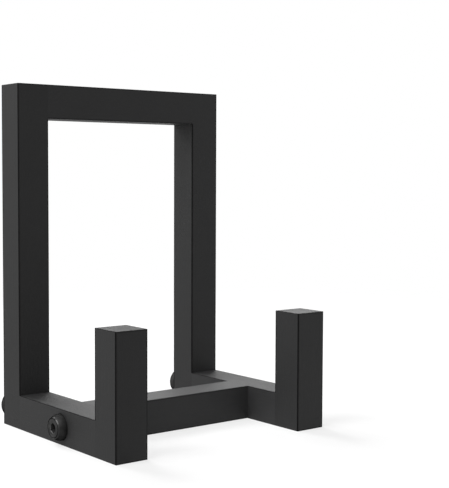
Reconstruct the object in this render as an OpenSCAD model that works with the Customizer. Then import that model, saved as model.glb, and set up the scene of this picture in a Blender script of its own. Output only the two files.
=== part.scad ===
// Knock-down display stand for one record or one book, in millimetres.
// The front faces -Y, +Z is up, and the origin is on the floor at the middle of the whole
// stand, bolt heads included. The left side is -X, and the right side mirrors it.

/* [Overall] */
// Width over the two sides, without the side bolts' heads
overall_w = 147; // [125:1:240]
// Height of the back frame
overall_h = 202; // [130:1:320]
// Depth from the front of the posts to the back of the uprights
overall_d = 121; // [105:1:200]
// Height of the two front posts
post_h = 69; // [35:1:110]
// Gap from the back of the posts to the front of the cross rail
cross_setback = 25; // [8:1:38]

/* [Bars] */
// Side of the square bars
bar = 20; // [18:0.5:24]
// Width of the small bevel along every open edge of the bars
edge_ease = 0.2; // [0.1:0.1:1.2]

/* [Bolts] */
// Thread diameter of all four bolts
bolt_d = 8; // [5:0.5:8.5]
// How far a bolt reaches into the end of the bar that it holds
bolt_reach = 15; // [14:0.5:18]
// Pitch of the thread
thread_pitch = 1.25; // [0.8:0.05:1.6]
// Depth of the thread
thread_depth = 0.7; // [0.3:0.05:0.9]
// Plain length of the shank under the head
shank_plain = 12; // [4:0.5:18]
// Size of the hexagon key across its flats
key_af = 5; // [3:0.5:6]
// Depth of the key's socket
socket_depth = 3; // [1.5:0.1:3.8]

/* [Side bolt heads] */
// Diameter of the domed head
side_head_d = 15; // [12:0.5:19]
// Height of the domed head
side_head_h = 5; // [4.2:0.1:7]
// Straight height of the rim below the dome
side_rim_h = 0.8; // [0.4:0.1:2]
// Diameter of the flat on top of the dome
side_crown_d = 11.2; // [7.2:0.1:11.8]

/* [Rear bolt heads] */
// Diameter of the round head
rear_head_d = 17; // [14:0.5:19]
// Height of the round head
rear_head_h = 7.5; // [5:0.1:9]
// Radius of the head's outer edge
rear_head_round = 2; // [0.5:0.1:3]

/* [Threaded inserts] */
// Outer diameter over the teeth
insert_d = 12; // [11:0.1:14]
// Length of a sleeve
insert_len = 13; // [9:0.5:13]
// Depth of the teeth on the outside
tooth_depth = 0.7; // [0.3:0.1:0.9]
// Number of teeth along a sleeve
tooth_count = 6; // [3:1:8]
// How far a sleeve lies below the end of the bar
insert_sink = 0.5; // [0.2:0.1:1.5]
// Width of the driving slot in a sleeve's mouth
slot_w = 1.6; // [0.8:0.1:2.4]
// Depth of the driving slot
slot_depth = 2; // [0.8:0.1:3]

/* [Dowels] */
// Diameter of the dowels
dowel_d = 6; // [4:0.5:7]
// Length of the dowels
dowel_len = 24; // [16:1:30]
// Distance between the two dowels of a joint
dowel_spacing = 9; // [7.5:0.5:10]
// Radius of the glue flutes along a dowel
flute_r = 0.35; // [0.2:0.05:0.5]
// Number of glue flutes round a dowel
flute_count = 14; // [8:1:16]
// Bevel at a dowel's ends
dowel_bevel = 0.8; // [0.3:0.1:1.5]

/* [Fits] */
// Radial room of a bolt's shank in a drilled bar
shank_room = 0.25; // [0.1:0.05:0.5]
// Radial room of a bolt in its sleeve
thread_room = 0.05; // [0.03:0.01:0.1]
// Radial room of a sleeve or a dowel in its bore
seat_room = 0.05; // [0.03:0.01:0.1]
// Room past the end of a bolt or a dowel in its bore
end_room = 1.5; // [0.5:0.1:2.5]

/* [Hidden] */
$fn = 48;
paint_black = [0.15, 0.15, 0.16];
bolt_black = [0.1, 0.1, 0.11];
zinc = [0.72, 0.7, 0.62];
beech = [0.84, 0.69, 0.5];

// Planes of the left side, from the outside inwards
out_x = -overall_w / 2;
in_x = out_x + bar;
mid_x = out_x + bar / 2;
// Planes from the front to the back
front_y = -(overall_d + rear_head_h) / 2;
post_back_y = front_y + bar;
cross_front_y = post_back_y + cross_setback;
cross_mid_y = cross_front_y + bar / 2;
cross_back_y = cross_front_y + bar;
back_y = front_y + overall_d;
upright_front_y = back_y - bar;
upright_mid_y = back_y - bar / 2;
// Planes from the floor up
rail_mid_z = bar / 2;
rail_top_z = bar;
top_under_z = overall_h - bar;
top_mid_z = overall_h - bar / 2;

inner_w = overall_w - 2 * bar;
rail_len = overall_d - 2 * bar;
bolt_len = bar + bolt_reach;
// An edge that ends in the open is bevelled past its end by this much
past = edge_ease + 1;
// A bore that starts at a face is cut from this far outside it
lead = 1;
// Angle at which each tightened bolt came to rest
left_side_turn = 0;
right_side_turn = 22;
left_rear_turn = 12;
right_rear_turn = -19;

// Makes the right side's copy of a piece of the left side
module mirrored() {
  mirror([1, 0, 0]) children();
}

// A diamond rod centred on an edge takes off its bevel
module edge_rod(length) {
  linear_extrude(height = length) circle(r = edge_ease, $fn = 4);
}

module ease_x(x1, x2, y, z) {
  translate([x1, y, z]) rotate([0, 90, 0]) edge_rod(x2 - x1);
}

module ease_y(y1, y2, x, z) {
  translate([x, y1, z]) rotate([-90, 0, 0]) edge_rod(y2 - y1);
}

module ease_z(z1, z2, x, y) {
  translate([x, y, z1]) edge_rod(z2 - z1);
}

// Turns a shape that is drawn along +Z so that it points along +X or +Y
module along_x() {
  rotate([0, 90, 0]) children();
}

module along_y() {
  rotate([-90, 0, 0]) children();
}

// Straight hole through a bar for a bolt's shank
module shank_hole() {
  translate([0, 0, -lead])
    cylinder(h = bar + 2 * lead, r = bolt_d / 2 + shank_room);
}

// Stepped bore in the end of a bar: a seat for the sleeve, then room for the bolt's tip
module insert_bore() {
  translate([0, 0, -lead])
    cylinder(h = lead + insert_sink + insert_len, r = insert_d / 2 + seat_room);
  translate([0, 0, -lead])
    cylinder(h = lead + bolt_reach + end_room, r = bolt_d / 2 + shank_room);
}

// Blind bore for half a dowel
module dowel_bore() {
  translate([0, 0, -lead])
    cylinder(h = lead + dowel_len / 2 + end_room, r = dowel_d / 2 + seat_room);
}

// Hexagon socket with a small bevel at its mouth, sunk from z = 0 down
module key_socket() {
  key_r = key_af / 2 / cos(30);
  mouth_bevel = 0.4;
  translate([0, 0, -socket_depth]) cylinder(h = socket_depth + lead, r = key_r, $fn = 6);
  translate([0, 0, -mouth_bevel])
    cylinder(h = mouth_bevel + lead, r1 = key_af / 2, r2 = key_af / 2 + mouth_bevel + lead);
}

// Dome between the rim and the flat crown is part of one sphere
module side_head() {
  head_r = side_head_d / 2;
  crown_r = side_crown_d / 2;
  dome_z = (pow(crown_r, 2) + pow(side_head_h, 2) - pow(head_r, 2) - pow(side_rim_h, 2))
    / (2 * (side_head_h - side_rim_h));
  dome_r = norm([head_r, side_rim_h - dome_z]);
  difference() {
    intersection() {
      cylinder(h = side_head_h, r = head_r);
      translate([0, 0, dome_z]) sphere(r = dome_r, $fn = 96);
    }
    translate([0, 0, side_head_h]) key_socket();
  }
}

// Round head with a rounded outer edge
module rear_head() {
  head_r = rear_head_d / 2;
  difference() {
    rotate_extrude() {
      square([head_r - rear_head_round, rear_head_h]);
      square([head_r, rear_head_h - rear_head_round]);
      intersection() {
        translate([head_r - rear_head_round, rear_head_h - rear_head_round])
          circle(r = rear_head_round);
        square([head_r, rear_head_h]);
      }
    }
    translate([0, 0, rear_head_h]) key_socket();
  }
}

// Shank of a bolt, drawn from z = 0 down, with the thread's turns as plain rings
module shank() {
  tip = thread_pitch;
  turns = floor((bolt_len - shank_plain - tip) / thread_pitch);
  core_r = bolt_d / 2 - thread_depth;
  rings = [
    for (i = [0 : turns - 1])
      each [
        [bolt_d / 2, -shank_plain - i * thread_pitch],
        [core_r, -shank_plain - (i + 0.5) * thread_pitch]
      ]
  ];
  rotate_extrude()
    polygon(concat(
      [[0, 0], [bolt_d / 2, 0]],
      rings,
      [[bolt_d / 2, -shank_plain - turns * thread_pitch], [core_r, -bolt_len], [0, -bolt_len]]
    ));
}

module side_bolt(turn) {
  rotate([0, 0, turn]) {
    side_head();
    shank();
  }
}

module rear_bolt(turn) {
  rotate([0, 0, turn]) {
    rear_head();
    shank();
  }
}

// Threaded sleeve with saw teeth that grip the wood, its mouth at z = 0
module insert() {
  outer_r = insert_d / 2;
  pitch = insert_len / tooth_count;
  teeth = [
    for (i = [0 : tooth_count - 1])
      each [
        [outer_r, -i * pitch],
        [outer_r, -(i + 0.3) * pitch],
        [outer_r - tooth_depth, -(i + 1) * pitch]
      ]
  ];
  difference() {
    rotate_extrude()
      polygon(concat(
        [[bolt_d / 2 + thread_room, 0]],
        teeth,
        [[bolt_d / 2 + thread_room, -insert_len]]
      ));
    translate([-insert_d, -slot_w / 2, -slot_depth]) cube([2 * insert_d, slot_w, slot_depth + lead]);
  }
}

// Fluted dowel, centred on the joint
module dowel() {
  r = dowel_d / 2;
  difference() {
    rotate_extrude()
      polygon([
        [0, -dowel_len / 2],
        [r - dowel_bevel, -dowel_len / 2],
        [r, -dowel_len / 2 + dowel_bevel],
        [r, dowel_len / 2 - dowel_bevel],
        [r - dowel_bevel, dowel_len / 2],
        [0, dowel_len / 2]
      ]);
    for (i = [0 : flute_count - 1])
      rotate([0, 0, i * 360 / flute_count])
        translate([r, 0, -dowel_len / 2 - lead])
          cylinder(h = dowel_len + 2 * lead, r = flute_r, $fn = 16);
  }
}

module upright() {
  difference() {
    translate([out_x, upright_front_y, 0]) cube([bar, bar, overall_h]);
    // open edges, from the base rail and the top rail on
    ease_z(rail_top_z, overall_h + past, out_x, upright_front_y);
    ease_z(-past, overall_h + past, out_x, back_y);
    ease_z(-past, top_under_z, in_x, back_y);
    ease_z(rail_top_z, top_under_z, in_x, upright_front_y);
    ease_y(upright_front_y - past, back_y + past, out_x, overall_h);
    ease_x(out_x - past, in_x, upright_front_y, overall_h);
    ease_x(out_x - past, in_x, back_y, overall_h);
    ease_y(upright_front_y, back_y + past, out_x, 0);
    ease_y(upright_front_y, back_y + past, in_x, 0);
    ease_x(out_x - past, in_x + past, back_y, 0);
    translate([mid_x, upright_front_y, rail_mid_z]) along_y() shank_hole();
    for (side = [-1, 1])
      translate([in_x, upright_mid_y + side * dowel_spacing / 2, top_mid_z])
        mirrored() along_x() dowel_bore();
  }
}

module base_rail() {
  difference() {
    translate([out_x, post_back_y, 0]) cube([bar, rail_len, bar]);
    for (z = [0, rail_top_z]) {
      ease_y(post_back_y, upright_front_y, out_x, z);
      ease_y(post_back_y, cross_front_y, in_x, z);
      ease_y(cross_back_y, upright_front_y, in_x, z);
    }
    translate([out_x, cross_mid_y, rail_mid_z]) along_x() shank_hole();
    translate([mid_x, upright_front_y, rail_mid_z]) rotate([90, 0, 0]) insert_bore();
    for (side = [-1, 1])
      translate([mid_x + side * dowel_spacing / 2, post_back_y, rail_mid_z])
        along_y() dowel_bore();
  }
}

module front_post() {
  difference() {
    translate([out_x, front_y, 0]) cube([bar, bar, post_h]);
    for (x = [out_x, in_x]) {
      ease_z(-past, post_h + past, x, front_y);
      ease_z(rail_top_z, post_h + past, x, post_back_y);
      ease_y(front_y - past, post_back_y + past, x, post_h);
      ease_y(front_y - past, post_back_y, x, 0);
    }
    for (y = [front_y, post_back_y])
      ease_x(out_x - past, in_x + past, y, post_h);
    ease_x(out_x - past, in_x + past, front_y, 0);
    for (side = [-1, 1])
      translate([mid_x + side * dowel_spacing / 2, post_back_y, rail_mid_z])
        rotate([90, 0, 0]) dowel_bore();
  }
}

module left_upright() color(paint_black) upright();
module right_upright() color(paint_black) mirrored() upright();

module top_rail() {
  color(paint_black) difference() {
    translate([in_x, upright_front_y, top_under_z]) cube([inner_w, bar, bar]);
    for (y = [upright_front_y, back_y])
      for (z = [top_under_z, overall_h])
        ease_x(in_x, -in_x, y, z);
    for (side = [-1, 1])
      translate([in_x, upright_mid_y + side * dowel_spacing / 2, top_mid_z]) {
        along_x() dowel_bore();
        translate([inner_w, 0, 0]) mirrored() along_x() dowel_bore();
      }
  }
}

module left_base_rail() color(paint_black) base_rail();
module right_base_rail() color(paint_black) mirrored() base_rail();
module left_front_post() color(paint_black) front_post();
module right_front_post() color(paint_black) mirrored() front_post();

module cross_rail() {
  color(paint_black) difference() {
    translate([in_x, cross_front_y, 0]) cube([inner_w, bar, bar]);
    for (y = [cross_front_y, cross_back_y])
      for (z = [0, rail_top_z])
        ease_x(in_x, -in_x, y, z);
    translate([in_x, cross_mid_y, rail_mid_z]) {
      along_x() insert_bore();
      translate([inner_w, 0, 0]) mirrored() along_x() insert_bore();
    }
  }
}

// Bolts point inwards and forwards, so their heads stand on the outer and rear faces
module left_side_bolt()
  color(bolt_black) translate([out_x, cross_mid_y, rail_mid_z]) rotate([0, -90, 0]) side_bolt(left_side_turn);
module right_side_bolt()
  color(bolt_black) translate([-out_x, cross_mid_y, rail_mid_z]) along_x() side_bolt(right_side_turn);
module left_rear_bolt()
  color(bolt_black) translate([mid_x, back_y, rail_mid_z]) along_y() rear_bolt(left_rear_turn);
module right_rear_bolt()
  color(bolt_black) translate([-mid_x, back_y, rail_mid_z]) along_y() rear_bolt(right_rear_turn);

module left_cross_insert()
  color(zinc) translate([in_x + insert_sink, cross_mid_y, rail_mid_z]) rotate([0, -90, 0]) insert();
module right_cross_insert()
  color(zinc) translate([-in_x - insert_sink, cross_mid_y, rail_mid_z]) along_x() insert();
module left_rear_insert()
  color(zinc) translate([mid_x, upright_front_y - insert_sink, rail_mid_z]) along_y() insert();
module right_rear_insert()
  color(zinc) translate([-mid_x, upright_front_y - insert_sink, rail_mid_z]) along_y() insert();

// side is -1 for the left joint or 1 for the right, and row is -1 for the front dowel or 1 for the rear
module top_dowel(side, row)
  color(beech) translate([-side * in_x, upright_mid_y + row * dowel_spacing / 2, top_mid_z]) along_x() dowel();
module top_left_dowel_front() top_dowel(-1, -1);
module top_left_dowel_rear() top_dowel(-1, 1);
module top_right_dowel_front() top_dowel(1, -1);
module top_right_dowel_rear() top_dowel(1, 1);

// column is -1 for the outer dowel or 1 for the inner one
module post_dowel(side, column)
  color(beech)
    translate([-side * mid_x - side * column * dowel_spacing / 2, post_back_y, rail_mid_z]) along_y() dowel();
module left_post_dowel_outer() post_dowel(-1, -1);
module left_post_dowel_inner() post_dowel(-1, 1);
module right_post_dowel_outer() post_dowel(1, -1);
module right_post_dowel_inner() post_dowel(1, 1);

left_upright();
right_upright();
top_rail();
left_base_rail();
right_base_rail();
left_front_post();
right_front_post();
cross_rail();
left_side_bolt();
right_side_bolt();
left_rear_bolt();
right_rear_bolt();
left_cross_insert();
right_cross_insert();
left_rear_insert();
right_rear_insert();
top_left_dowel_front();
top_left_dowel_rear();
top_right_dowel_front();
top_right_dowel_rear();
left_post_dowel_outer();
left_post_dowel_inner();
right_post_dowel_outer();
right_post_dowel_inner();
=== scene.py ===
import math

import bpy
from mathutils import Matrix, Vector


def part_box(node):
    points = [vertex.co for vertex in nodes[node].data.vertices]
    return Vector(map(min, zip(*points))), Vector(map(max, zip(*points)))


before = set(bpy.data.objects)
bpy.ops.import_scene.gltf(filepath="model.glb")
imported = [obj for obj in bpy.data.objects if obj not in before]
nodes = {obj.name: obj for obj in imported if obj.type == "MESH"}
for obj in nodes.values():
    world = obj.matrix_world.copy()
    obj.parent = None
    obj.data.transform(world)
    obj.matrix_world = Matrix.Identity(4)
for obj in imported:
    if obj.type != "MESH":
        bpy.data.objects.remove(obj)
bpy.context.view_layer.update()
print("stand: loaded", len(nodes), "pieces")


# small helpers for building node trees

noiseRange = (0.3, 0.7)  # most of a noise's values lie between these


def fill(tree, node, sockets):
    # sockets: name or number of an input -> a value, or the output to link to it
    for socket, value in sockets.items():
        if isinstance(value, bpy.types.NodeSocket):
            tree.links.new(value, node.inputs[socket])
        else:
            node.inputs[socket].default_value = value


def addNode(tree, kind, sockets=None, **settings):
    node = tree.nodes.new(kind)
    for name, value in settings.items():
        setattr(node, name, value)
    fill(tree, node, sockets or {})
    return node


def calc(tree, operation, a, b=0.0, c=0.0):
    return addNode(tree, "ShaderNodeMath", {0: a, 1: b, 2: c}, operation=operation).outputs[0]


def addUp(tree, *layers):
    # sum of textures, each times its share or depth
    total = 0.0
    for texture, share in layers:
        total = calc(tree, "MULTIPLY_ADD", texture, share, total)
    return total


def blendRange(tree, value, low, high, toLow=0.0, toHigh=1.0, smooth=True):
    kind = "SMOOTHSTEP" if smooth else "LINEAR"
    return addNode(tree, "ShaderNodeMapRange", {"Value": value, "From Min": low, "From Max": high,
                   "To Min": toLow, "To Max": toHigh}, interpolation_type=kind).outputs[0]


def mixColor(tree, factor, a, b, mode="MIX"):
    node = addNode(tree, "ShaderNodeMix", {0: factor, 6: a, 7: b}, data_type="RGBA", blend_type=mode)
    return node.outputs[2]


def scaleColor(tree, colour, level):
    even = addNode(tree, "ShaderNodeCombineColor", {0: level, 1: level, 2: level}).outputs[0]
    return mixColor(tree, 1.0, colour, even, "MULTIPLY")


def noiseAt(tree, vector, scale, detail=2.0, roughness=0.5, distortion=0.0):
    return addNode(tree, "ShaderNodeTexNoise", {"Vector": vector, "Scale": scale, "Detail": detail,
                   "Roughness": roughness, "Distortion": distortion}).outputs["Fac"]


def bumpFrom(tree, height):
    # height in mm
    node = addNode(tree, "ShaderNodeBump", {"Height": height, "Distance": 0.001, "Strength": 1.0})
    return node.outputs[0]


def millimetres(tree, stretch=(1, 1, 1), offset=(0, 0, 0)):
    # object coordinates in mm, stretched per axis, so that texture scales read as "per mm"
    coords = addNode(tree, "ShaderNodeTexCoord").outputs["Object"]
    return addNode(tree, "ShaderNodeMapping", {"Vector": coords, "Scale": [1000 * s for s in stretch],
                   "Location": offset}).outputs[0]


def splitVector(tree, vector):
    return addNode(tree, "ShaderNodeSeparateXYZ", {0: vector}).outputs


def stretchAlong(axis, share):
    # draws a texture out along one axis
    return [share if i == axis else 1.0 for i in range(3)]


def emptyTree(owner):
    owner.use_nodes = True
    owner.node_tree.nodes.clear()
    return owner.node_tree


def newMaterial(name):
    material = bpy.data.materials.new(name)
    tree = emptyTree(material)
    shader = addNode(tree, "ShaderNodeBsdfPrincipled")
    addNode(tree, "ShaderNodeOutputMaterial", {"Surface": shader.outputs[0]})
    return material, tree, shader


def dress(names, material):
    for name in names:
        nodes[name].material_slots[0].material = material


def grey(level, tint=(1.0, 1.0, 1.0)):
    return tuple(level * t for t in tint) + (1.0,)


def millimetreBox(name):
    low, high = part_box(name)
    return [1000 * v for v in low], [1000 * v for v in high]


def longAxis(name):
    low, high = millimetreBox(name)
    lengths = [b - a for a, b in zip(low, high)]
    return lengths.index(max(lengths))


# satin black paint on the bars: lengths in mm, texture scales per mm
paint = {
    "colour": 0.010,            # the black of the paint film
    "tint": (1.0, 1.0, 1.03),
    "pale": {                   # painted light and shade: each bar's black made paler or darker, times that black, for the light falling on it
        "left_upright": 0.75,
        "right_upright": 1.1,
        "top_rail": 1.05,
        "left_base_rail": 1.0,
        "right_base_rail": 1.6,
        "left_front_post": 0.8,
        "right_front_post": 1.05,
        "cross_rail": 2.0,
    },
    "cloudScale": 0.045,
    "mottle": 0.16,             # share by which the black wanders with the film's thickness
    "mottleGrain": 0.25,        # how much of that follows the grain, the rest being cloudy
    "roughness": 0.68,
    "roughnessWander": 0.03,
    "endGrainRoughness": -0.02,  # end grain was sanded and sealed once more
    "poreRoughness": 0.08,
    "specular": 0.34,
    "endFace": (0.9, 0.97),     # how much of the normal lies along the bar where a face is end grain

    "edgeColour": 0.003,        # darker and duller along the eased edges
    "edgeRoughness": 0.95,
    "edgeSpecular": 0.06,
    "edgeCore": 0.44,           # from the corner to where the film starts to thicken
    "edgeWidth": 1.10,          # from the corner to where it is full again
    "edgeShare": (1.0, 0.3, 0.3),  # how much of it shows on side faces, front and rear ones, and tops
    "levelNarrow": 2.2,         # how much narrower it is along the level edges of the side faces

    "woodShift": (37.0, 19.0, 53.0),  # every bar is cut from another place of the wood
    "grainScale": 0.9,          # the wood's long grain under the film
    "grainStretch": 0.03,
    "grainDepth": 0.060,
    "poreScale": 2.6,
    "poreStretch": 0.16,
    "poreRange": (0.66, 0.78),  # the noise's values between which a pore sinks to its full depth
    "poreDepth": 0.050,
    "peelScale": 0.8,           # the sprayed film's soft dimples
    "peelDepth": 0.035,
    "mistScale": 2.2,
    "mistDepth": 0.008,

    "jointGap": 0.05,           # bars nearer to each other than this meet flush
    "coveredDepth": 50.0,       # how much deeper a point counts below a face that another bar covers
    "seamWidth": 0.09,          # to each side of a joint
    "seamDepth": 0.05,
    "seamColour": 0.0005,
    "seamDark": 0.75,
    "seamFace": (0.5, 0.9),     # how much of the normal lies across a joint where its seam no longer shows
}


def findJoints(name):
    # faces that another bar meets flush: (axis, side, the ends of the stretch that it covers)
    low, high = millimetreBox(name)
    gap = paint["jointGap"]
    joints = []
    for other in paint["pale"]:
        otherLow, otherHigh = millimetreBox(other)
        overlap = [min(high[i], otherHigh[i]) - max(low[i], otherLow[i]) for i in range(3)]
        axis = overlap.index(min(overlap))
        if abs(overlap[axis]) > gap:
            continue
        side = "low" if otherLow[axis] < low[axis] else "high"
        across = [i for i in range(3) if i != axis]
        ends = [(i, "GREATER_THAN", otherLow[i]) for i in across if otherLow[i] > low[i] + gap]
        ends += [(i, "LESS_THAN", otherHigh[i]) for i in across if otherHigh[i] < high[i] - gap]
        joints.append((axis, side, ends))
    return joints


def findEdgesAndSeams(tree, name, place, facing):
    # depth below each of the six faces
    low, high = millimetreBox(name)
    depths = [{"low": calc(tree, "SUBTRACT", place[i], low[i]),
               "high": calc(tree, "SUBTRACT", high[i], place[i])} for i in range(3)]

    # hairlines beside the joints; a face that another bar covers is moved away
    seam = 0.0
    for axis, side, ends in findJoints(name):
        covered = 1.0
        for i, comparison, end in ends:
            covered = calc(tree, "MULTIPLY", covered, calc(tree, comparison, place[i], end))
        line = blendRange(tree, depths[axis][side], 0.0, paint["seamWidth"], 1.0, 0.0)
        line = calc(tree, "MULTIPLY", line, blendRange(tree, facing[axis], *paint["seamFace"], 1.0, 0.0))
        seam = calc(tree, "MAXIMUM", seam, calc(tree, "MULTIPLY", line, covered))
        depths[axis][side] = calc(tree, "MULTIPLY_ADD", covered, paint["coveredDepth"], depths[axis][side])

    # the middle one of the three axes' depths is the way to the nearest open edge
    x, y, z = [calc(tree, "MINIMUM", depth["low"], depth["high"]) for depth in depths]
    z = calc(tree, "MULTIPLY", z, calc(tree, "MULTIPLY_ADD", facing[0], paint["levelNarrow"], 1.0))
    reach = calc(tree, "MAXIMUM", calc(tree, "MINIMUM", x, y),
                 calc(tree, "MINIMUM", calc(tree, "MAXIMUM", x, y), z))
    edge = blendRange(tree, reach, paint["edgeCore"], paint["edgeWidth"], 1.0, 0.0)
    shown = addUp(tree, *zip(facing, paint["edgeShare"]))
    return calc(tree, "MULTIPLY", edge, calc(tree, "MINIMUM", shown, 1.0)), seam


def paintBar(name, number):
    material, tree, shader = newMaterial("satinBlack_" + name)
    axis = longAxis(name)  # the grain runs along the bar
    shift = [s * number for s in paint["woodShift"]]
    even = millimetres(tree)
    normal = addNode(tree, "ShaderNodeNewGeometry").outputs["True Normal"]
    facing = [calc(tree, "ABSOLUTE", part) for part in splitVector(tree, normal)]
    endGrain = blendRange(tree, facing[axis], *paint["endFace"])
    edge, seam = findEdgesAndSeams(tree, name, splitVector(tree, even), facing)

    # film over wood: long grain, pores, soft dimples and a fine mist
    lengthwise = millimetres(tree, stretchAlong(axis, paint["grainStretch"]), shift)
    grain = noiseAt(tree, lengthwise, paint["grainScale"], detail=4.0, roughness=0.62, distortion=0.4)
    flecked = millimetres(tree, stretchAlong(axis, paint["poreStretch"]), shift)
    pores = noiseAt(tree, flecked, paint["poreScale"], detail=1.0, roughness=0.4)
    pores = blendRange(tree, pores, *paint["poreRange"])
    peel = noiseAt(tree, even, paint["peelScale"], roughness=0.45)
    mist = noiseAt(tree, even, paint["mistScale"], roughness=0.6)
    height = addUp(tree, (grain, paint["grainDepth"]), (pores, -paint["poreDepth"]),
                   (peel, paint["peelDepth"]), (mist, paint["mistDepth"]), (seam, -paint["seamDepth"]))

    # colour wanders a little with the film's thickness
    cloud = noiseAt(tree, even, paint["cloudScale"], detail=3.0, roughness=0.55)
    level = addUp(tree, (grain, paint["mottleGrain"]), (cloud, 1 - paint["mottleGrain"]))
    level = blendRange(tree, level, *noiseRange, 1 - paint["mottle"], 1 + paint["mottle"], smooth=False)
    # painted light and shade: the bar's black is scaled by its paleness for the light falling on it
    film = scaleColor(tree, grey(paint["colour"] * paint["pale"][name], paint["tint"]), level)
    film = mixColor(tree, edge, film, grey(paint["edgeColour"]))
    film = mixColor(tree, calc(tree, "MULTIPLY", seam, paint["seamDark"]), film, grey(paint["seamColour"]))

    rough = blendRange(tree, cloud, *noiseRange, paint["roughness"] - paint["roughnessWander"],
                       paint["roughness"] + paint["roughnessWander"], smooth=False)
    rough = calc(tree, "MULTIPLY_ADD", endGrain, paint["endGrainRoughness"], rough)
    rough = calc(tree, "MULTIPLY_ADD", pores, paint["poreRoughness"], rough)
    rough = blendRange(tree, edge, 0.0, 1.0, rough, paint["edgeRoughness"], smooth=False)
    gloss = blendRange(tree, edge, 0.0, 1.0, paint["specular"], paint["edgeSpecular"], smooth=False)
    fill(tree, shader, {"Base Color": film, "Roughness": rough, "Specular IOR Level": gloss,
                        "Normal": bumpFrom(tree, height)})
    dress([name], material)


for number, name in enumerate(paint["pale"]):
    paintBar(name, number)
print("stand: painted", len(paint["pale"]), "bars")


# black coated bolts: lengths in mm, texture scales per mm
boltFinish = {
    # bar under the head, bar that the bolt is screwed into, radius of the crown's flat, the dome's painted
    # shade
    "bolts": {
        "left_side_bolt": ("left_base_rail", "cross_rail", 5.6, "sideDomeShade"),
        "right_side_bolt": ("right_base_rail", "cross_rail", 5.6, "sideDomeShade"),
        "left_rear_bolt": ("left_upright", "left_base_rail", 6.5, "rearDomeShade"),
        "right_rear_bolt": ("right_upright", "right_base_rail", 6.5, "rearDomeShade"),
    },
    "crownColour": 0.068,     # how much the blackened steel mirrors
    "sideDomeShade": 0.029,       # painted shade: the side bolts' dome round the crown coloured darker than the crown
    # painted shade: the rear bolts' dome coloured darker than the crown
    "rearDomeShade": 0.052,
    "flankBand": (-0.1, 0.2),  # outside the crown's edge
    "grazingTint": 0.0,       # no bright rim where it is seen at a shallow angle
    "cloudScale": 0.35,
    "mottle": (0.85, 1.2),    # times the colour, where the cloud's values are low and where they are high
    "mottleRange": (0.35, 0.65),  # those values
    "roughness": 0.60,
    "roughnessWander": 0.04,
    "speckleScale": 3.2,
    "speckleDepth": 0.004,
    "speckleRoughness": 0.06,
    "turningScale": 5.0,      # lathe rings
    "turningDepth": 0.004,
    "shine": 0.30,            # the dome's shoulder is polished by hands
    "shineRoughness": 0.16,
    "shineBand": (0.1, 0.45),  # outside the crown's edge
    "shineFade": 0.2,
    "lipBand": (-0.35, 0.0),  # painted shade: thin dark line just inside the crown's edge
    "lipFade": 0.25,
    "lipShadeStrength": 0.85,
    "lipShadeColour": 0.3,         # the painted shade line's colour, times the dome's colour
    "mouthBand": (2.75, 2.95),  # round the socket, where the key has rubbed the coating thin
    "mouthFade": 0.27,
    "bareColour": 0.16,       # steel that shows there
    "bareShare": 0.35,
    "bareSpeckle": (0.42, 0.6),  # speckle values over which it sets in
}


def findHeadSeat(under, into):
    # a bolt follows the middle of the bar that it is screwed into, out to the face under its head
    axis = longAxis(into)
    underLow, underHigh = millimetreBox(under)
    intoLow, intoHigh = millimetreBox(into)
    seat = [(a + b) / 2 for a, b in zip(intoLow, intoHigh)]
    seat[axis] = underLow[axis] if underLow[axis] < intoLow[axis] else underHigh[axis]
    return axis, seat


def ringMask(tree, radius, band, fade, crown=0.0):
    # the band counts from the crown's edge, or from the bolt's axis where no crown is given
    inner, outer = [crown + end for end in band]
    rise = blendRange(tree, radius, inner - fade, inner)
    return calc(tree, "MULTIPLY", rise, blendRange(tree, radius, outer, outer + fade, 1.0, 0.0))


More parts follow.
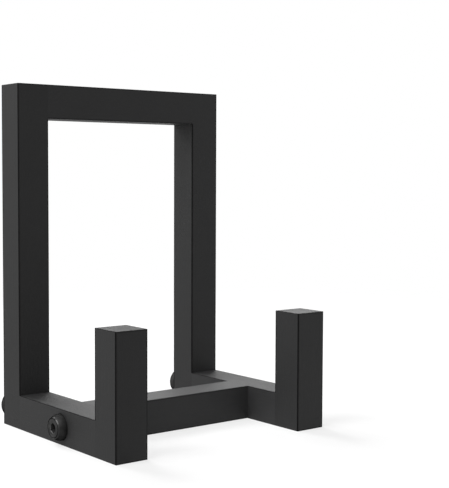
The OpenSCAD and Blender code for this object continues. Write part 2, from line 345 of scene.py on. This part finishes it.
def coatBolt(name, under, into, crown, dome):
    material, tree, shader = newMaterial("blackCoatedSteel_" + name)
    axis, seat = findHeadSeat(under, into)
    centred = millimetres(tree, offset=[-s for s in seat])
    across = [part for i, part in enumerate(splitVector(tree, centred)) if i != axis]
    radius = calc(tree, "SQRT", addUp(tree, *zip(across, across)))
    rings = addNode(tree, "ShaderNodeTexNoise", {"W": radius, "Scale": boltFinish["turningScale"],
                    "Detail": 2.0}, noise_dimensions="1D").outputs["Fac"]
    speckle = noiseAt(tree, centred, boltFinish["speckleScale"], detail=3.0, roughness=0.6)
    cloud = noiseAt(tree, centred, boltFinish["cloudScale"])
    height = addUp(tree, (rings, boltFinish["turningDepth"]), (speckle, boltFinish["speckleDepth"]))

    # rings round the axis: the dome and its painted shade, its polished shoulder, a painted dark line
    # inside the crown's edge and the socket's mouth
    flankStart, flankEnd = boltFinish["flankBand"]
    flank = blendRange(tree, radius, crown + flankStart, crown + flankEnd)
    shoulder = ringMask(tree, radius, boltFinish["shineBand"], boltFinish["shineFade"], crown)
    lipShade = ringMask(tree, radius, boltFinish["lipBand"], boltFinish["lipFade"], crown)
    mouth = ringMask(tree, radius, boltFinish["mouthBand"], boltFinish["mouthFade"])
    bare = blendRange(tree, speckle, *boltFinish["bareSpeckle"], 0.0, boltFinish["bareShare"])

    level = blendRange(tree, cloud, *boltFinish["mottleRange"], *boltFinish["mottle"])
    # painted shade: the dome round the crown is coloured darker than the crown
    shade = mixColor(tree, flank, grey(boltFinish["crownColour"]), grey(boltFinish[dome]))
    shade = scaleColor(tree, shade, level)
    # painted shade: a dark line just inside the crown's edge
    shade = mixColor(tree, calc(tree, "MULTIPLY", lipShade, boltFinish["lipShadeStrength"]), shade,
                     grey(boltFinish[dome] * boltFinish["lipShadeColour"]))
    shade = mixColor(tree, calc(tree, "MULTIPLY", mouth, bare), shade, grey(boltFinish["bareColour"]))
    rough = blendRange(tree, cloud, *noiseRange, boltFinish["roughness"] - boltFinish["roughnessWander"],
                       boltFinish["roughness"] + boltFinish["roughnessWander"], smooth=False)
    rough = calc(tree, "MULTIPLY_ADD", speckle, boltFinish["speckleRoughness"], rough)
    fill(tree, shader, {"Base Color": shade, "Roughness": rough, "Metallic": 1.0,
                        "Specular Tint": grey(boltFinish["grazingTint"]),
                        "Coat Weight": calc(tree, "MULTIPLY", shoulder, boltFinish["shine"]),
                        "Coat Roughness": boltFinish["shineRoughness"],
                        "Normal": bumpFrom(tree, height)})
    dress([name], material)


for name, (under, into, crown, dome) in boltFinish["bolts"].items():
    coatBolt(name, under, into, crown, dome)
print("stand: coated", len(boltFinish["bolts"]), "bolts")


# zinc on the threaded sleeves inside the bars: lengths in mm, texture scales per mm
zincFinish = {
    "pale": (0.62, 0.60, 0.52, 1.0),
    "dull": (0.42, 0.41, 0.37, 1.0),
    "crystalScale": 1.4,
    "crystalShare": 0.35,       # how much of the tone is crystals, the rest being cloudy
    "cloudScale": 0.6,
    "toneRange": (0.25, 0.75),
    "roughness": (0.44, 0.28),  # where the zinc is dull and where it is bright
    "grainScale": 3.0,
    "grainDepth": 0.004,
}


def plateSleeves(names):
    material, tree, shader = newMaterial("zincPlate")
    even = millimetres(tree)
    crystals = addNode(tree, "ShaderNodeTexVoronoi", {"Vector": even, "Scale": zincFinish["crystalScale"]})
    crystal = addNode(tree, "ShaderNodeSeparateColor", {0: crystals.outputs["Color"]}).outputs[0]
    cloud = noiseAt(tree, even, zincFinish["cloudScale"], detail=3.0, roughness=0.6)
    tone = addUp(tree, (crystal, zincFinish["crystalShare"]), (cloud, 1 - zincFinish["crystalShare"]))
    tone = blendRange(tree, tone, *zincFinish["toneRange"])
    grain = noiseAt(tree, even, zincFinish["grainScale"], detail=3.0, roughness=0.6)
    fill(tree, shader, {"Base Color": mixColor(tree, tone, zincFinish["dull"], zincFinish["pale"]),
                        "Roughness": blendRange(tree, cloud, *noiseRange, *zincFinish["roughness"]),
                        "Metallic": 1.0,
                        "Normal": bumpFrom(tree, calc(tree, "MULTIPLY", grain, zincFinish["grainDepth"]))})
    dress(names, material)


plateSleeves([name for name in nodes if name.endswith("_insert")])


# bare beech dowels inside the joints: lengths in mm, texture scales per mm
beechFinish = {
    "pale": (0.62, 0.43, 0.26, 1.0),
    "dark": (0.44, 0.27, 0.15, 1.0),
    "grainScale": 1.6,
    "grainStretch": 0.05,
    "grainDepth": 0.02,
    "fleck": (0.30, 0.17, 0.09, 1.0),
    "fleckScale": 3.6,
    "fleckStretch": 0.2,
    "fleckRange": (0.62, 0.74),  # the noise's values between which a fleck sets in
    "fleckShare": 0.7,
    "roughness": (0.56, 0.70),   # along the pale and the dark grain
}


def turnDowels(names, axis):
    material, tree, shader = newMaterial("bareBeech_" + "xyz"[axis])
    lengthwise = millimetres(tree, stretchAlong(axis, beechFinish["grainStretch"]))
    grain = noiseAt(tree, lengthwise, beechFinish["grainScale"], detail=4.0, roughness=0.6, distortion=0.3)
    streaked = millimetres(tree, stretchAlong(axis, beechFinish["fleckStretch"]))
    fleck = noiseAt(tree, streaked, beechFinish["fleckScale"], detail=1.0, roughness=0.4)
    fleck = blendRange(tree, fleck, *beechFinish["fleckRange"])
    colour = mixColor(tree, blendRange(tree, grain, *noiseRange), beechFinish["pale"], beechFinish["dark"])
    flecked = calc(tree, "MULTIPLY", fleck, beechFinish["fleckShare"])
    colour = mixColor(tree, flecked, colour, beechFinish["fleck"])
    height = addUp(tree, (grain, beechFinish["grainDepth"]), (fleck, -beechFinish["grainDepth"]))
    fill(tree, shader, {"Base Color": colour,
                        "Roughness": blendRange(tree, grain, *noiseRange, *beechFinish["roughness"]),
                        "Normal": bumpFrom(tree, height)})
    dress(names, material)


for axis in (0, 1):  # the top rail's dowels lie along X, the posts' along Y
    turnDowels([name for name in nodes if "dowel" in name and longAxis(name) == axis], axis)
print("stand: finished the sleeves and dowels")


# floor, world and lamps
studio = {
    "floorReach": 12.0,         # metres from the stand to the floor's sides
    "floorColour": 0.82,
    "floorGlow": 0.7,           # share of plain white that the camera sees in the floor by the stand
    "shadowReach": (0.25, 0.8),  # metres from the stand over which the floor turns plain white
    "worldLevel": 0.2,          # what lights the stand from all round
    "lampAim": (0.0, 0.0, 0.08),
    "lamps": {                  # place, size in metres, watts
        "leftHigh": ((-0.836, 0.0, 1.046), 0.7, 11.8),
        "leftFront": ((-0.930, -0.460, 0.880), 0.3, 2.5),
        "backHigh": ((0.0, 0.836, 1.046), 0.8, 22.5),
        "backRight": ((0.899, 0.899, 0.320), 0.7, 4.2),
    },
}


def sortRays(tree):
    # rays that come off gloss or through glass, and those together with the camera's own
    ray = addNode(tree, "ShaderNodeLightPath").outputs
    sentOn = calc(tree, "MAXIMUM", ray["Is Glossy Ray"], ray["Is Transmission Ray"])
    return sentOn, calc(tree, "MAXIMUM", ray["Is Camera Ray"], sentOn)


def buildFloor():
    reach = studio["floorReach"]
    corners = [(-reach, -reach, 0), (reach, -reach, 0), (reach, reach, 0), (-reach, reach, 0)]
    mesh = bpy.data.meshes.new("floor")
    mesh.from_pydata(corners, [], [(0, 1, 2, 3)])
    floor = bpy.data.objects.new("floor", mesh)
    bpy.context.scene.collection.objects.link(floor)
    material = bpy.data.materials.new("paleFloor")
    tree = emptyTree(material)
    sentOn, seen = sortRays(tree)
    coords = addNode(tree, "ShaderNodeTexCoord").outputs["Object"]
    away = addNode(tree, "ShaderNodeVectorMath", {0: coords}, operation="LENGTH").outputs["Value"]
    glow = blendRange(tree, away, *studio["shadowReach"], studio["floorGlow"], 1.0)
    glow = calc(tree, "MAXIMUM", glow, sentOn)
    matt = addNode(tree, "ShaderNodeBsdfDiffuse", {"Color": grey(studio["floorColour"])})
    white = addNode(tree, "ShaderNodeEmission", {"Color": grey(1.0), "Strength": 1.0})
    both = addNode(tree, "ShaderNodeMixShader", {0: calc(tree, "MULTIPLY", seen, glow),
                   1: matt.outputs[0], 2: white.outputs[0]})
    addNode(tree, "ShaderNodeOutputMaterial", {"Surface": both.outputs[0]})
    mesh.materials.append(material)


def buildWorld():
    world = bpy.data.worlds.new("studio")
    bpy.context.scene.world = world
    tree = emptyTree(world)
    sentOn, seen = sortRays(tree)
    soft = addNode(tree, "ShaderNodeBackground", {"Color": grey(1.0), "Strength": studio["worldLevel"]})
    white = addNode(tree, "ShaderNodeBackground", {"Color": grey(1.0), "Strength": 1.0})
    both = addNode(tree, "ShaderNodeMixShader", {0: seen, 1: soft.outputs[0], 2: white.outputs[0]})
    addNode(tree, "ShaderNodeOutputWorld", {"Surface": both.outputs[0]})


def hangLamps():
    aim = Vector(studio["lampAim"])
    for name, (place, size, watts) in studio["lamps"].items():
        data = bpy.data.lights.new(name, "AREA")
        data.shape = "DISK"
        data.size = size
        data.energy = watts
        lamp = bpy.data.objects.new(name, data)
        lamp.location = place
        lamp.rotation_euler = (aim - Vector(place)).to_track_quat("-Z", "Y").to_euler()
        bpy.context.scene.collection.objects.link(lamp)


buildFloor()
buildWorld()
hangLamps()
print("stand: floor, world and", len(studio["lamps"]), "lamps are up")


# camera, at the photograph's place
cameraSet = {
    "place": (-0.384525, -0.531138, 0.148310),
    "yaw": 37.0119,         # degrees to the right of straight along +Y
    "pitch": 3.1948,        # degrees down
    "roll": 0.0912,
    "sensor": 36.0,         # mm
    "lens": 81.5668,        # mm
    "shift": (0.09119, -0.01213),
    "clip": (0.01, 60.0),   # metres
}


def placeCamera():
    data = bpy.data.cameras.new("camera")
    data.sensor_width = cameraSet["sensor"]
    data.lens = cameraSet["lens"]
    data.shift_x, data.shift_y = cameraSet["shift"]
    data.clip_start, data.clip_end = cameraSet["clip"]
    camera = bpy.data.objects.new("camera", data)
    turn = (Matrix.Rotation(math.radians(-cameraSet["yaw"]), 4, "Z")
            @ Matrix.Rotation(math.radians(90 - cameraSet["pitch"]), 4, "X")
            @ Matrix.Rotation(math.radians(cameraSet["roll"]), 4, "Z"))
    camera.matrix_world = Matrix.Translation(cameraSet["place"]) @ turn
    bpy.context.scene.collection.objects.link(camera)
    bpy.context.scene.camera = camera


placeCamera()
bpy.context.scene.view_settings.view_transform = "Standard"
print("stand: camera set")
